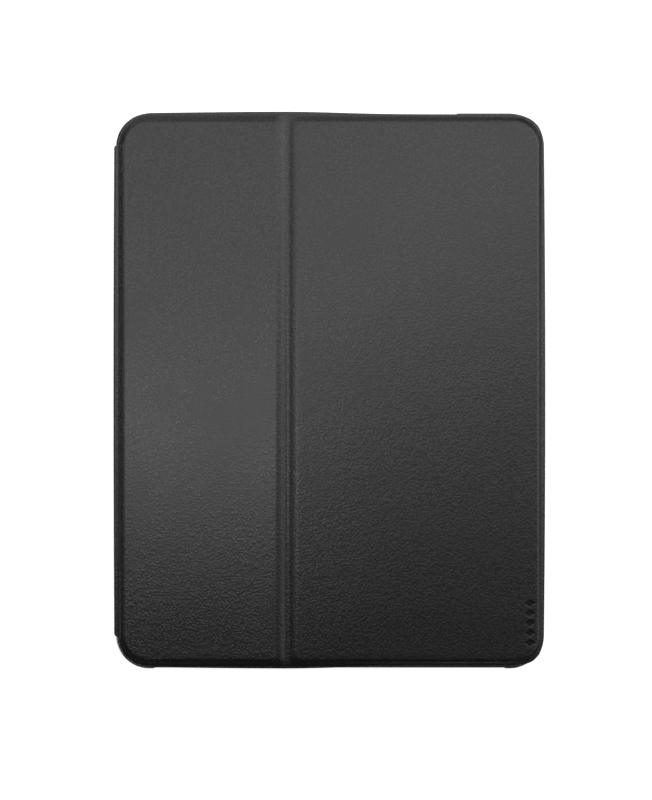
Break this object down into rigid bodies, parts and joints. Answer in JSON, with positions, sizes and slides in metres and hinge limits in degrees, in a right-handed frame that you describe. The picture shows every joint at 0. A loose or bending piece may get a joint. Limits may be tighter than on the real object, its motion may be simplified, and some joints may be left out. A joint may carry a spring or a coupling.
{
  "type": "tablet case",
  "caption": "Black leather-look folio case for a large tablet: moulded tray with buttons, a stiff spine, and a two-panel front cover whose fold makes a stand.",
  "frame": {"origin": "middle of the closed case's footprint, on the surface it lies on", "axes": "+X points from the spine to the cover's free edge, +Y to the tablet's top, +Z out of the front cover"},
  "size_m": [0.221, 0.2846, 0.0129],
  "materials": {
    "cover_leather": "fine pebbled grain, satin",
    "microfibre": "short dense nap",
    "board": "pressed fibre",
    "steel": "plain",
    "magnet": "nickel plated",
    "bond": "adhesive film",
    "tray_plastic": "semi-gloss moulded",
    "trim_plastic": "satin moulded",
    "button_plastic": "satin moulded"
  },
  "bodies": {
    "case_back": {"back_skin": "cover_leather", "back_board": "board", "stand_plate": "steel", "bond_sheet": "bond", "tray_shell": "tray_plastic", "floor_pad": "microfibre", "camera_trim": "trim_plastic"},
    "power_button": {"power_button": "button_plastic"},
    "volume_up_button": {"volume_up_button": "button_plastic"},
    "volume_down_button": {"volume_down_button": "button_plastic"},
    "spine": {"spine_skin": "cover_leather", "spine_stiffener": "board", "spine_lining": "microfibre", "back_crease": "cover_leather", "front_crease": "cover_leather", "front_crease_lining": "microfibre"},
    "narrow_panel": {"narrow_skin": "cover_leather", "narrow_board": "board", "narrow_lining": "microfibre", "fold_skin": "cover_leather", "fold_lining": "microfibre"},
    "wide_panel": {"wide_skin": "cover_leather", "wide_board": "board", "wide_lining": "microfibre", "closure_magnets": "magnet", "wake_magnet": "magnet"}
  },
  "joints": [
    {"name": "spine_hinge", "type": "hinge", "parent": "case_back", "child": "spine", "pos_m": [-0.10975, 0, 0.00075], "axis": [0, -1, 0], "range_deg": [0, 120], "deforming": ["back_crease"]},
    {"name": "cover_hinge", "type": "hinge", "parent": "spine", "child": "narrow_panel", "pos_m": [-0.1096, 0, 0.011], "axis": [0, -1, 0], "range_deg": [0, 175], "deforming": ["front_crease", "front_crease_lining"]},
    {"name": "fold_hinge", "type": "hinge", "parent": "narrow_panel", "child": "wide_panel", "pos_m": [-0.02145, 0, 0.01135], "axis": [0, -1, 0], "range_deg": [0, 104], "deforming": ["fold_skin", "fold_lining"]},
    {"name": "power_press", "type": "slide", "parent": "case_back", "child": "power_button", "axis": [0, -1, 0], "range_m": [0, 0.00035], "stiffness_N_per_m": 1500},
    {"name": "volume_up_press", "type": "slide", "parent": "case_back", "child": "volume_up_button", "axis": [-1, 0, 0], "range_m": [0, 0.00035], "stiffness_N_per_m": 1500},
    {"name": "volume_down_press", "type": "slide", "parent": "case_back", "child": "volume_down_button", "axis": [-1, 0, 0], "range_m": [0, 0.00035], "stiffness_N_per_m": 1500}
  ]
}
